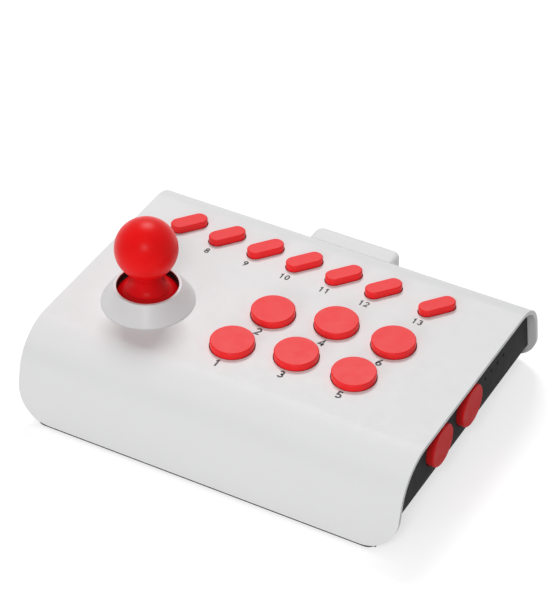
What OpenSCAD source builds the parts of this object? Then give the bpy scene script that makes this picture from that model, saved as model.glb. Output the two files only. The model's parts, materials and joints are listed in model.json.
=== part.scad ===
// Compact arcade fight stick: a folded white cover over a dark tray, a ball-top stick, six round
// buttons, seven slanted menu buttons and two side buttons. +Z is up, +Y points to the back.
// The origin is on the table, under the middle of the body.

/* [Cover] */
// Width of the cover, from side to side
cover_w = 231; // [210:0.5:280]
// Depth of the cover at its lower edges
cover_d = 179.4; // [170:0.1:220]
// Height of the cover, from its lower edge to the flat deck
cover_h = 50; // [46:0.5:60]
// Wall thickness of the cover
cover_t = 2.4; // [2:0.1:3]
// Outer radius of the front bend
front_bend_r = 28; // [20:0.5:30]
// Outer radius of the back bend
back_bend_r = 22; // [16:0.5:24]
// Lean of the front face from upright, in degrees
front_lean = 12; // [4:0.5:14]
// Lean of the back face from upright, in degrees
back_lean = 10; // [4:0.5:12]
// Radius of the lower corners of the front and back faces
hem_corner_r = 20; // [8:0.5:24]

/* [Tray] */
// Distance of each side panel behind the cover's edge
panel_inset = 5; // [3:0.1:8]
// Thickness of the tray's side panels
panel_t = 2.4; // [2:0.1:3]
// Thickness of the tray's floor
floor_t = 2.4; // [1.8:0.1:3.4]
// Thickness of the flange that shows under the cover's edges
flange_t = 0.8; // [0.6:0.1:1.4]
// Corner radius of the flange
flange_corner_r = 6; // [3:0.5:12]
// Height of the turned-in lower part of the side panels
bevel_h = 13.8; // [8:0.1:15]
// Distance that the side panels turn in at the bottom
bevel_in = 6.8; // [3:0.1:9]
// Height of the lip inside the front and back faces, above the floor
lip_h = 6.4; // [3:0.1:9]
// Thickness of that lip
lip_t = 1.8; // [1.2:0.1:2.6]

/* [Feet and fasteners] */
// Radius of a rubber foot
foot_r = 6; // [4:0.5:8]
// Height of a foot below the tray
foot_h = 1.2; // [0.8:0.1:3]
// Depth of the recess that holds a foot
foot_recess = 1; // [0.6:0.1:1.4]
// Distance of the feet from the sides of the tray's floor
foot_x = 15.7; // [11.7:1:33.7]
// Distance of the feet from the cover's front and back edges
foot_y = 15.7; // [13.7:1:29.7]
// Distance of the outer screw posts from the side panels
post_x = 11.1; // [10.1:0.5:12.1]
// Distance of the front screw posts from the cover's front edge
post_front = 33.7; // [31.7:0.5:34.7]
// Distance of the back screw posts from the cover's back edge
post_back = 23.7; // [22.7:0.5:25.7]
// Radius of the cover's screw posts
post_r = 3.5; // [3:0.1:4]
// Height of the tray's screw wells above the floor
well_h = 8.4; // [6:0.1:12]
// Shank radius of the housing screws
screw_r = 1.2; // [1:0.05:1.5]
// Head radius of the housing screws
screw_head_r = 2.6; // [2.2:0.1:3]
// Shank radius of the small board screws
tack_r = 0.95; // [0.8:0.05:1.1]

/* [Stick] */
// Distance of the stick from the left side panel
stick_x = 37.6; // [36.1:0.5:40.1]
// Distance of the stick from the middle, to the front
stick_y = 22; // [20:0.5:24]
// Radius of the ball
ball_r = 17.5; // [14:0.5:18.5]
// Height of the ball's centre above the deck
ball_rise = 35.3; // [34:0.1:45]
// Radius of the neck under the ball
neck_r = 8.4; // [6:0.1:8.8]
// Radius of the shaft
shaft_r = 3; // [2.5:0.1:3.4]
// Depth of the pivot under the deck
pivot_drop = 10; // [9.6:0.1:10.4]
// Largest tilt of the stick each way, in degrees
tilt = 8; // [4:0.5:8]
// Outer radius of the dust dome, about the pivot
dome_r = 23.3; // [23:0.1:23.6]
// Wall thickness of the dust dome
dome_t = 1.2; // [0.8:0.1:1.6]
// Radius of the bezel at the deck
bezel_r = 26; // [25.5:0.1:28]
// Height of the bezel
bezel_h = 10.9; // [9.5:0.1:12]
// Outer radius of the bezel's rim
rim_r = 18.7; // [18.2:0.1:20]
// Inner radius of the bezel's rim
mouth_r = 17.2; // [16.4:0.1:17.4]
// Half the width of the stick housing's mounting plate
mount_half = 28; // [27:0.5:28]

/* [Round buttons] */
// Radius of a round cap
cap_r = 12.15; // [10:0.05:13]
// Height of the caps above the panel
cap_rise = 4; // [3:0.1:6]
// Bevel round the face of a cap
cap_bevel = 0.5; // [0.2:0.05:1]
// Gap round a cap in its hole
cap_gap = 0.45; // [0.3:0.05:0.7]
// Travel of a button
cap_travel = 1.5; // [0.8:0.1:1.7]
// Place of the first column of buttons, across
action_x = -11.1; // [-13:0.1:-10]
// Place of the front row, front to back
action_y = -25.5; // [-27:0.1:-24]
// Distance between the columns
action_pitch = 34.5; // [33.5:0.1:36]
// Distance between the rows
action_row = 33.4; // [33:0.1:34]
// Step of the back row to the right
action_shift = 6.55; // [4:0.05:8]
// Step of the first column to the front
action_drop = 8.2; // [4:0.1:9]

/* [Menu buttons] */
// Half the distance between the end centres of a menu cap
menu_half = 6; // [5:0.1:6.4]
// Radius of a menu cap's round ends
menu_r = 4.75; // [4:0.05:5]
// Turn of the menu caps, in degrees
menu_turn = 50.7; // [45:0.1:60]
// Place of the first menu cap, across
menu_x = -84.5; // [-86:0.1:-83]
// Distance of the row from the cover's back edge
menu_y = 43.1; // [42.7:0.1:43.7]
// Distance between the menu caps
menu_pitch = 24.65; // [24:0.05:25]
// Extra distance before the last menu cap
menu_skip = 7.9; // [4:0.1:9]

/* [Side panel controls] */
// Place of the back side button, front to back
side_y = 3.7; // [2:0.1:5]
// Distance between the two side buttons
side_pitch = 36; // [34:0.1:37]
// Height of the side buttons above the table
side_z = 32.8; // [32.4:0.1:33]
// Radius of an indicator hole
lamp_r = 0.6; // [0.4:0.05:0.9]
// Place of the first indicator, front to back
lamp_y = 27.6; // [26:0.1:30]
// Distance between the indicators
lamp_pitch = 7.6; // [6:0.1:8]

/* [Phone holder socket] */
// Width of the socket
socket_w = 53; // [48:0.5:56]
// Place of the socket's middle, to the right
socket_x = 2.6; // [-4:0.1:6]
// Depth of the socket's top under the deck
socket_drop = 5; // [4:0.1:8]
// Corner radius of the socket, seen from above
socket_corner_r = 5; // [3:0.1:7]
// Width of a slot
slot_w = 7; // [5:0.1:9]
// Height of a slot
slot_h = 14; // [10:0.5:15]
// Depth of a slot
slot_depth = 12; // [8:0.5:12.5]
// Distance between the two slots
slot_pitch = 21; // [18:0.5:24]

/* [Rear controls] */
// Distance of the charging inlet from the middle, to the left
inlet_x = 60; // [58:0.5:61]
// Distance of the mode switch from the screw post at its left
switch_x = 16; // [15:0.5:18]
// Height of the inlet and the switch above the table
rear_z = 24; // [22:0.5:26]
// Travel of the mode switch
switch_travel = 4; // [2:0.1:4.4]

/* [Hidden] */
$fn = 96;
soft_fn = 32;
over = 1;
fit = 0.15;
seat = 0.05;

// Levels above the table
tray_z = foot_h;
hem_z = tray_z + flange_t;
floor_z = tray_z + floor_t;
deck_z = hem_z + cover_h;
under_z = deck_z - cover_t;
lip_z = floor_z + lip_h;
well_z = floor_z + well_h;

// A round corner's circle is a trace larger than one that just touches its sides, so that it
// crosses them at this angle; the rolled edge of the socket crosses them at the second one
corner_ease = 1;
roll_ease = 8;
// The two bends of the cover in the side view
function bend_centre(side, r, lean) =
    [side * (cover_d / 2 - (r + (cover_h - r) * sin(lean)) / cos(lean)), deck_z - r];
front_c = bend_centre(-1, front_bend_r, front_lean);
back_c = bend_centre(1, back_bend_r, back_lean);
// Outside of the back face at a height
function back_y(z) = cover_d / 2 - (z - hem_z) * tan(back_lean);

panel_x = cover_w / 2 - panel_inset;
panel_in = panel_x - panel_t;
keep_w = 2 * cover_w;

// Places from the middle
front_end = -cover_d / 2;
back_end = cover_d / 2;
stick_out = panel_in - stick_x;
post_out = panel_in - post_x;
foot_out = panel_x - bevel_in - foot_x;
foot_back = back_end - foot_y;
menu_row = back_end - menu_y;
switch_out = post_out - switch_x;

// Buttons: levels from the outside of the panel, which is zero
cap_t = 1.4;
cap_float = 0.3;
cap_lip = 1.3;
cap_wall = 1.4;
cap_roof = 1.6;
stem_r = 3.5;
rib_t = 1.2;
stem_drop = 3.3;
pad_gap = 0.3;
board_drop = 6.1;
collar_gap = 0.4;
collar_t = 1.2;
collar_drop = 3.1;
key_w = 3;
key_out = 0.9;
key_gap = 0.3;
pad_base_t = 0.8;
pad_base_r = 7.4;
pad_foot_r = 5.6;
pad_top_r = 4;
pad_hollow_r = 3.6;
pad_hollow_h = 1.1;

board_t = 1.6;
board_z = under_z - board_drop;
side_board_x = panel_in - board_drop;

action_cols = 3;
action_rows = 2;
action_places = [
    for (c = [0:action_cols - 1], r = [0:action_rows - 1])
        [
            action_x + c * action_pitch + r * action_shift,
            action_y + r * action_row - (c == 0 ? action_drop : 0)
        ]
];
menu_n = 7;
menu_places = [
    for (i = [0:menu_n - 1])
        [menu_x + i * menu_pitch + (i == menu_n - 1 ? menu_skip : 0), menu_row]
];
side_n = 2;
lamp_drop = 0.4;
side_boss_front = 5;
side_boss_back = 3;
side_boss_drop = 8.8;
side_boss_rise = 11.2;
side_board_front = 47.8;
side_board_back = 56;
side_board_low = 19.5;
side_board_top = 46.5;
pipe_bar_w = 3;
pipe_bar_t = 4.4;
side_places = [for (i = [0:side_n - 1]) side_y - i * side_pitch];
lamp_n = 4;
lamp_places = [for (i = [0:lamp_n - 1]) lamp_y + i * lamp_pitch];
lamp_z = side_z - lamp_drop;
lamp_last = lamp_places[lamp_n - 1];
side_boss_places = [
    [lamp_y - side_boss_front, side_z - side_boss_drop],
    [side_y - side_pitch / 2, side_z + side_boss_rise],
    [side_y - side_pitch / 2, side_z - side_boss_rise],
    [lamp_last + side_boss_back, side_z - side_boss_drop]
];

// Screw posts between the cover and the tray
post_places = [
    for (x = [-post_out, 0, post_out], y = [front_end + post_front, back_end - post_back])
        [x, y]
];
post_embed = 0.4 * cover_t;
screw_len = 8;
screw_head_h = 1.8;
screw_fit = 0.1;
well_wall = 1.6;
well_web = 2.4;
pilot_depth = 9;

// Boards hang under the deck on short bosses
boss_r = 2.6;
boss_pilot = 4.2;
tack_head_r = 2;
tack_head_h = 1.3;
tack_len = 5;
long_tack_len = 6;
board_front = 50;
board_behind = 13.4;
board_back = menu_row + board_behind;
board_apart = 6.5;
board_left = stick_out - mount_half - board_apart;
board_clear = 8.4;
board_right = side_board_x - board_t - board_clear;
strip_clear = 7.1;
strip_left = panel_in - strip_clear;
strip_before = 14.6;
strip_front = menu_row - strip_before;
boss_in = 6;
boss_edge = 4;
boss_mid = 22;
board_boss_places = [
    [boss_in - board_left, boss_in - board_front], [board_right - boss_in, boss_in - board_front],
    [board_right - boss_in, strip_front - boss_edge], [boss_in - board_left, boss_mid],
    [boss_edge - strip_left, board_back - boss_edge], [board_right - boss_edge, board_back - boss_edge]
];

chip_w = 10;
chip_h = 1.2;
crystal_w = 5;
crystal_d = 3.2;
plug_w = 8;
plug_d = 5;
plug_h = 4;
radio_w = 6;

// The stick's parts, measured from the pivot
pivot_z = deck_z - pivot_drop;
ball_z = pivot_drop + ball_rise;
dome_in = dome_r - dome_t;
dome_gap = 0.8;
liner_t = 0.95;
liner_drop = 0.9;
bezel_edge = 0.6;
bezel_ledge = 1.6;
bezel_lip_r = bezel_r - bezel_ledge;
bezel_grip = 1;
bezel_lip_h = cover_t + bezel_grip;
dome_spare = 1.5;
dome_reach = asin(mouth_r / dome_r) + tilt * sqrt(2) + dome_spare;
flare_r = 9;
flare_edge = 0.25;
neck_top_drop = 13.7;
neck_seat = ball_z - neck_top_drop;
neck_socket = 0.1;
shaft_down = 32;
shaft_end_drop = 2;
shaft_up = ball_z - shaft_end_drop;
shaft_fit = 0.05;
shoulder_r = 4.5;
block_r = 6;
ring_h = 5;
ring_in = 7.6;
ring_out = 11.2;
pin_r = 1.5;
pin_fit = 0.05;
ear_gap = 0.9;
ear_t = 3.5;
ear_r = 4;
pin_short = 0.2;
pin_end = ring_out + ear_gap + ear_t - pin_short;
cup_r = 25;
cup_wall = 1.8;
cup_in = cup_r - cup_wall;
cup_gap = 0.2;
cup_top = bezel_lip_h + cup_gap;
mount_t = 3;
mount_drop = 7.6;
mount_top = deck_z - mount_drop;
mount_corner_r = 5;
mount_edge = 3.5;
mount_boss = mount_half - mount_edge;
platform_drop = 7;
platform_top = pivot_z - platform_drop;
platform_t = 2;
platform_hole = 5.5;
skirt_half = 20;
skirt_t = 2;
skirt_drop = 26.1;
skirt_z = pivot_z - skirt_drop;
skirt_corner_r = 3;
gate_t = 2.4;
gate_z = skirt_z - gate_t;
gate_post_r = 2.6;
gate_post_join = 0.3;
gate_post = skirt_half - skirt_t - gate_post_r + gate_post_join;
actuator_r = 6.5;
actuator_flange_r = 9.5;
actuator_flange_t = 1.2;
actuator_top = 15;
actuator_end = 29.5;
swing_gap = 0.3;
gate_half = actuator_r / cos(tilt) + (pivot_z - gate_z) * tan(tilt) + swing_gap;
gate_corner_r = 2;
spring_r = 7.8;
spring_wire = 1;
spring_turns = 3;
spring_steps = 20;
clip_r = 5.2;
clip_t = 0.8;
clip_gap = 0.3;
switch_w = 12.8;
switch_d = 6.4;
switch_h = 6.2;
switch_in = 11.3;
plunger_r = 0.9;
plunger_rise = 4;
plunger_z = skirt_z + plunger_rise;
plunger_tip = actuator_r / cos(tilt) + (pivot_z - plunger_z + plunger_r) * tan(tilt) + swing_gap;

// Feet recesses, socket, rear controls and battery
foot_fit = 0.2;
socket_short = 0.5;
socket_back = cover_d / 2 - socket_short;
socket_top = deck_z - socket_drop;
socket_low = 12;
socket_edge_r = 3;
socket_in_top = 43;
socket_in_low = 23;
socket_in_deep = 15.7;
socket_in_front = back_end - socket_in_deep;
socket_side = 5.5;
slot_step = 2.5;
slot_low = socket_in_low + slot_step;
socket_join = 1.5;
inlet_w = 8.94;
inlet_h = 3.26;
inlet_len = 7.3;
inlet_shell_t = 0.3;
inlet_back_t = 1.2;
inlet_tongue_w = 6.7;
inlet_tongue_h = 0.7;
inlet_tongue_back = 1.2;
inlet_gap = 0.35;
inlet_mouth = 0.6;
rear_board_z = rear_z - inlet_h / 2;
rear_board_clear = 8.7;
rear_board_d = 16;
rear_board_back = back_end - rear_board_clear;
rear_board_front = rear_board_back - rear_board_d;
rear_board_apart = 6;
rear_board_left = post_out - rear_board_apart;
rear_board_right = 50;
rear_post_r = 2.6;
rear_post_in = 4;
rear_post_behind = 4.5;
rear_post_y = rear_board_front + rear_post_behind;
switch_body_w = 10;
switch_body_d = 4.4;
switch_body_h = 3.6;
switch_body_clear = 9.7;
switch_body_back = back_end - switch_body_clear;
slider_w = 3;
slider_h = 1.8;
slider_rise = 0.9;
slider_gap = 0.3;
slider_root = 1.2;
slider_run = slider_w + switch_travel;
battery_w = 52;
battery_d = 34;
battery_h = 6.4;
battery_x = 42;
battery_y = -18;
battery_r = 2.5;
cradle_gap = 0.3;
cradle_t = 1.4;
cradle_h = 4;
cradle_len = 9;

// Extrusions of a side view and of a front view
module along_x(w) {
    rotate([90, 0, 90]) linear_extrude(w, center = true) children();
}
module along_y(d) {
    rotate([90, 0, 0]) linear_extrude(d, center = true) children();
}
module to_side() {
    translate([panel_x, 0, 0]) rotate([0, 90, 0]) children();
}
module at_stick() {
    translate([-stick_out, -stick_y, 0]) children();
}
module at_pivot() {
    translate([-stick_out, -stick_y, pivot_z]) children();
}

// What a round corner takes off a square one, in the quarter towards +x +y
module corner_off(x, y, r, ease = corner_ease) {
    difference() {
        translate([x - r, y - r]) square(r + over);
        translate([x - r, y - r]) circle(r / cos(ease));
    }
}
module round_rect(w, d, r) {
    difference() {
        square([w, d], center = true);
        for (i = [0, 1], j = [0, 1])
            mirror([i, 0]) mirror([0, j]) corner_off(w / 2, d / 2, r);
    }
}
module stadium(half, r) {
    translate([-half, 0]) circle(r);
    translate([half, 0]) circle(r);
    square([2 * half, 2 * r], center = true);
}

// Side view of the body: the area under the cover's outside, moved in by an inset.
// Each bend is a sharp corner with everything outside its circle cut off.
function bend_corner(c, r, side, lean) = c + r * [side * tan((90 - lean) / 2), 1];
module bend_off(c, r, side, lean) {
    reach = r + over;
    difference() {
        polygon([
            c, c + [0, reach], bend_corner(c, reach, side, lean),
            c + reach * [side * cos(lean), sin(lean)]
        ]);
        translate(c) circle(r / cos(corner_ease));
    }
}
module side_area(inset, low) {
    fr = front_bend_r - inset;
    br = back_bend_r - inset;
    front = bend_corner(front_c, fr, -1, front_lean);
    back = bend_corner(back_c, br, 1, back_lean);
    difference() {
        polygon([
            [front.x - (front.y - low) * tan(front_lean), low], front,
            back, [back.x + (back.y - low) * tan(back_lean), low]
        ]);
        bend_off(front_c, fr, -1, front_lean);
        bend_off(back_c, br, 1, back_lean);
    }
}
// Front view of the tray, moved in by an inset
module front_area(inset, low) {
    top = panel_x - inset;
    slope = atan(bevel_in / bevel_h);
    knee = tray_z + bevel_h + inset * tan(slope / 2);
    foot = top - (knee - low) * tan(slope);
    polygon([
        [-foot, low], [foot, low], [top, knee], [top, deck_z],
        [-top, deck_z], [-top, knee]
    ]);
}

// The cover: a folded sheet with guide collars, board bosses and screw posts inside
module cover_sheet() {
    difference() {
        along_x(cover_w) side_area(0, hem_z);
        along_x(keep_w) side_area(cover_t, hem_z - over);
        along_y(keep_w) for (i = [0, 1])
            mirror([i, 0]) translate([0, 2 * hem_z]) mirror([0, 1])
                corner_off(cover_w / 2, hem_z, hem_corner_r);
    }
}
module cover_post(place, r, low) {
    translate([place.x, place.y, low]) cylinder(h = under_z + post_embed - low, r = r);
}
module guide_collar(depth) {
    translate([0, 0, -depth - collar_drop]) linear_extrude(collar_drop + post_embed) difference() {
        children(0);
        children(1);
    }
}
module round_collar() {
    inner = cap_r + cap_lip + collar_gap;
    guide_collar(cover_t) {
        circle(inner + collar_t);
        union() {
            circle(inner);
            square([2 * (inner + over + collar_t), key_w + 2 * key_gap], center = true);
        }
    }
}
module menu_collar() {
    inner = menu_r + cap_lip + collar_gap;
    guide_collar(cover_t) {
        stadium(menu_half, inner + collar_t);
        stadium(menu_half, inner);
    }
}
module top_cover() {
    color("whitesmoke") difference() {
        union() {
            cover_sheet();
            for (p = post_places) cover_post(p, post_r, well_z + seat);
            for (p = board_boss_places) cover_post(p, boss_r, board_z);
            at_stick() for (x = [-1, 1], y = [-1, 1])
                cover_post(mount_boss * [x, y], boss_r, mount_top);
            for (p = action_places) translate([p.x, p.y, deck_z]) round_collar();
            for (p = menu_places)
                translate([p.x, p.y, deck_z]) rotate(menu_turn) menu_collar();
        }
        for (p = post_places)
            translate([p.x, p.y, well_z - over])
                cylinder(h = pilot_depth + over, r = screw_r + screw_fit);
        for (p = board_boss_places)
            translate([p.x, p.y, board_z - over])
                cylinder(h = boss_pilot + over, r = tack_r + screw_fit);
        at_stick() for (x = [-1, 1], y = [-1, 1])
            translate([x * mount_boss, y * mount_boss, mount_top - over])
                cylinder(h = boss_pilot + over, r = tack_r + screw_fit);
        at_stick() translate([0, 0, under_z - over])
            cylinder(h = cover_t + 2 * over, r = bezel_lip_r + seat);
        for (p = action_places)
            translate([p.x, p.y, under_z - over])
                cylinder(h = cover_t + 2 * over, r = cap_r + cap_gap);
        for (p = menu_places)
            translate([p.x, p.y, under_z - over]) rotate(menu_turn)
                linear_extrude(cover_t + 2 * over) stadium(menu_half, menu_r + cap_gap);
        socket_plug(fit);
        translate([-inlet_x, back_y(rear_z), rear_z])
            along_y(4 * cover_t) stadium((inlet_w - inlet_h) / 2, inlet_h / 2 + inlet_gap);
        translate([-switch_out, back_y(rear_z), rear_z])
            along_y(4 * cover_t) square([
                slider_run + 2 * slider_gap, slider_h + 2 * slider_gap
            ], center = true);
    }
}

// The tray: floor, side panels, lips, screw wells and the holders of the inner parts
module tray_blank() {
    difference() {
        intersection() {
            along_x(keep_w) side_area(cover_t + fit, tray_z);
            along_y(keep_w) front_area(0, tray_z);
        }
        intersection() {
            along_y(keep_w) front_area(panel_t, floor_z);
            union() {
                translate([-cover_w, -cover_d, lip_z])
                    cube([2 * cover_w, 2 * cover_d, cover_h]);
                along_x(keep_w) side_area(cover_t + fit + lip_t, floor_z);
            }
        }
    }
}
module tray_flange() {
    translate([0, 0, tray_z]) linear_extrude(flange_t - seat)
        round_rect(2 * (panel_x - bevel_in), cover_d, flange_corner_r);
}
module side_collar() {
    inner = cap_r + cap_lip + collar_gap;
    guide_collar(panel_t) {
        circle(inner + collar_t);
        union() {
            circle(inner);
            square([2 * (inner + over + collar_t), key_w + 2 * key_gap], center = true);
        }
    }
}
module battery_cradle() {
    w = battery_w / 2 + cradle_gap;
    d = battery_d / 2 + cradle_gap;
    for (i = [0, 1], j = [0, 1])
        translate([battery_x, battery_y, floor_z - seat]) mirror([i, 0]) mirror([0, j])
            difference() {
                translate([w - cradle_len, d - cradle_len, 0])
                    cube([cradle_len + cradle_t, cradle_len + cradle_t, cradle_h]);
                translate([w - cradle_len - over, d - cradle_len - over, -over])
                    cube([cradle_len + over, cradle_len + over, cradle_h + 2 * over]);
            }
}
rear_posts = [
    [-rear_board_left + rear_post_in, rear_post_y], [-rear_board_right - rear_post_in, rear_post_y]
];
module base_tray() {
    color("dimgray") difference() {
        union() {
            tray_blank();
            tray_flange();
            for (p = post_places)
                translate([p.x, p.y, tray_z])
                    cylinder(h = well_z - tray_z, r = screw_head_r + screw_fit + well_wall);
            for (p = rear_posts)
                translate([p.x, p.y, tray_z])
                    cylinder(h = rear_board_z - board_t - tray_z, r = rear_post_r);
            battery_cradle();
            for (y = side_places)
                to_side() translate([-side_z, y, 0]) side_collar();
            for (p = side_boss_places)
                translate([side_board_x, p.x, p.y]) rotate([0, 90, 0])
                    cylinder(h = board_drop + post_embed, r = boss_r);
        }
        for (p = post_places) translate([p.x, p.y, tray_z - over]) {
            cylinder(h = well_z - tray_z + 2 * over, r = screw_r + screw_fit);
            cylinder(h = well_z - well_web - tray_z + over, r = screw_head_r + screw_fit);
        }
        for (x = [-foot_out, foot_out], y = [-foot_back, foot_back])
            translate([x, y, tray_z - over])
                cylinder(h = foot_recess + over, r = foot_r + foot_fit);
        for (p = rear_posts)
            translate([p.x, p.y, rear_board_z - board_t - boss_pilot])
                cylinder(h = boss_pilot + over, r = tack_r + screw_fit);
        for (y = side_places)
            translate([panel_in - over, y, side_z]) rotate([0, 90, 0])
                cylinder(h = panel_t + 2 * over, r = cap_r + cap_gap);
        for (p = side_boss_places)
            translate([side_board_x - over, p.x, p.y]) rotate([0, 90, 0])
                cylinder(h = boss_pilot + over, r = tack_r + screw_fit);
        for (y = lamp_places)
            translate([panel_in - over, y, lamp_z]) rotate([0, 90, 0])
                cylinder(h = panel_t + 2 * over, r = lamp_r);
    }
}
module rubber_feet() {
    color("#202020") for (x = [-foot_out, foot_out], y = [-foot_back, foot_back])
        translate([x, y, 0]) {
            cylinder(h = foot_h, r1 = foot_r - foot_h / 3, r2 = foot_r);
            translate([0, 0, foot_h]) cylinder(h = foot_recess, r = foot_r);
        }
}

// A screw with its head down, the head's upper face at zero
module screw(r, len, head_r, head_h) {
    difference() {
        union() {
            cylinder(h = len, r = r);
            translate([0, 0, -head_h]) cylinder(h = head_h, r = head_r);
        }
        for (a = [0, 90])
            rotate(a) translate([0, 0, -head_h])
                cube([1.2 * head_r, 0.3 * head_r, head_h], center = true);
    }
}
module tack(len) {
    screw(tack_r, len, tack_head_r, tack_head_h);
}
module cover_screws() {
    color("silver") for (p = post_places)
        translate([p.x, p.y, well_z - well_web])
            screw(screw_r, screw_len, screw_head_r, screw_head_h);
}

// The socket at the back, which takes the two prongs of a phone holder
module socket_plug(grow) {
    w = socket_w / 2 - socket_side + grow;
    translate([socket_x - w, socket_in_front, socket_in_low - grow]) cube([
        2 * w, socket_back - socket_join - socket_in_front,
        socket_in_top - socket_in_low + 2 * grow
    ]);
}
// Its block, with one rolled edge along the back and the sides of the top
module socket_block() {
    half = socket_w / 2;
    flat_x = half - socket_corner_r;
    flat_y = socket_back - socket_corner_r;
    difference() {
        translate([0, 0, socket_low]) linear_extrude(socket_top - socket_low) difference() {
            translate([-half, 0]) square([socket_w, socket_back]);
            for (i = [0, 1]) mirror([i, 0]) corner_off(half, socket_back, socket_corner_r);
        }
        along_x(2 * flat_x) corner_off(socket_back, socket_top, socket_edge_r, roll_ease);
        for (i = [0, 1]) mirror([i, 0]) {
            translate([0, flat_y / 2, 0]) along_y(flat_y)
                corner_off(half, socket_top, socket_edge_r, roll_ease);
            translate([flat_x, flat_y, 0]) rotate_extrude(angle = 90)
                corner_off(socket_corner_r, socket_top, socket_edge_r, roll_ease);
        }
    }
}
module holder_socket() {
    color("whitesmoke") difference() {
        union() {
            difference() {
                translate([socket_x, 0, 0]) socket_block();
                along_x(keep_w) side_area(-seat, -over);
            }
            socket_plug(0);
        }
        for (i = [-1, 1])
            translate([
                socket_x + i * slot_pitch / 2 - slot_w / 2, socket_back - slot_depth, slot_low
            ]) cube([slot_w, slot_depth + over, slot_h]);
    }
}

// The stick, from the top down
module stick_bezel() {
    sphere_r = dome_r + dome_gap;
    color("lightgray") translate([0, 0, pivot_drop]) at_pivot() rotate_extrude() difference() {
        polygon([
            [mouth_r, bezel_h], [rim_r, bezel_h], [bezel_r, bezel_edge], [bezel_r, 0],
            [bezel_lip_r, 0], [bezel_lip_r, -bezel_lip_h], [mouth_r, -bezel_lip_h]
        ]);
        translate([0, -pivot_drop]) circle(sphere_r);
        translate([0, -bezel_lip_h - over])
            square([mouth_r + liner_t, bezel_lip_h + over + bezel_h - liner_drop]);
    }
}
module bezel_liner() {
    color("#151515") translate([0, 0, pivot_drop]) at_pivot() rotate_extrude() difference() {
        translate([mouth_r, 0]) square([liner_t - seat, bezel_h - liner_drop - seat]);
        translate([0, -pivot_drop]) circle(dome_r + dome_gap);
    }
}
module ball_top() {
    color("red") at_pivot() difference() {
        translate([0, 0, ball_z]) sphere(ball_r);
        cylinder(h = neck_seat + neck_socket, r = neck_r + neck_socket);
        cylinder(h = shaft_up + 2 * neck_socket, r = shaft_r + shaft_fit);
    }
}
module neck_sleeve() {
    foot = dome_r + flare_edge;
    span = foot + flare_r;
    flare_x = neck_r + flare_r;
    flare_z = sqrt(span * span - flare_x * flare_x);
    edge_x = flare_x * foot / span;
    color("red") at_pivot() rotate_extrude() difference() {
        union() {
            translate([shaft_r + shaft_fit, 0]) square([neck_r - shaft_r - shaft_fit, neck_seat]);
            translate([shaft_r + shaft_fit, 0]) square([edge_x - shaft_r - shaft_fit, flare_z]);
        }
        circle(dome_r + seat);
        translate([flare_x, flare_z]) circle(flare_r);
    }
}
module dust_dome() {
    reach = 2 * dome_r;
    color("red") at_pivot() rotate_extrude() intersection() {
        difference() {
            circle(dome_r);
            circle(dome_in);
        }
        polygon([
            [shaft_r + shaft_fit, 0], reach * [sin(dome_reach), cos(dome_reach)],
            reach * [sin(dome_reach), 1], [shaft_r + shaft_fit, reach]
        ]);
    }
}
module stick_shaft() {
    shoulder = sqrt(dome_in * dome_in - shoulder_r * shoulder_r) - seat;
    color("silver") at_pivot() {
        difference() {
            translate([0, 0, -shaft_down]) cylinder(h = shaft_down + shaft_up, r = shaft_r);
            translate([0, 0, -actuator_end - clip_gap - clip_t]) difference() {
                cylinder(h = clip_t, r = shaft_r + over);
                translate([0, 0, -over]) cylinder(h = clip_t + 2 * over, r = shaft_r - clip_gap);
            }
        }
        cylinder(h = shoulder, r = shoulder_r);
        translate([0, 0, -ring_h / 2]) cylinder(h = ring_h, r = block_r);
        rotate([90, 0, 0]) cylinder(h = 2 * (ring_out - pin_fit), r = pin_r, center = true);
    }
}
module shaft_clip() {
    color("gray") at_pivot() translate([0, 0, -actuator_end - clip_gap - clip_t + seat])
        linear_extrude(clip_t - 2 * seat) difference() {
            circle(clip_r);
            circle(shaft_r - clip_gap + seat);
            translate([0, -shaft_r / 2]) square([clip_r + over, shaft_r]);
        }
}
module gimbal_ring() {
    color("gray") at_pivot() difference() {
        union() {
            translate([0, 0, -ring_h / 2]) cylinder(h = ring_h, r = ring_out);
            rotate([0, 90, 0]) cylinder(h = 2 * pin_end, r = pin_r, center = true);
        }
        translate([0, 0, -ring_h]) cylinder(h = 2 * ring_h, r = ring_in);
        rotate([90, 0, 0]) cylinder(h = 4 * ring_out, r = pin_r + pin_fit, center = true);
    }
}
module pivot_ear() {
    translate([ring_out + ear_gap, 0, 0]) rotate([0, 90, 0]) cylinder(h = ear_t, r = ear_r);
    translate([ring_out + ear_gap, -ear_r, platform_top - pivot_z - seat])
        cube([ear_t, 2 * ear_r, pivot_z - platform_top + seat]);
}
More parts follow.
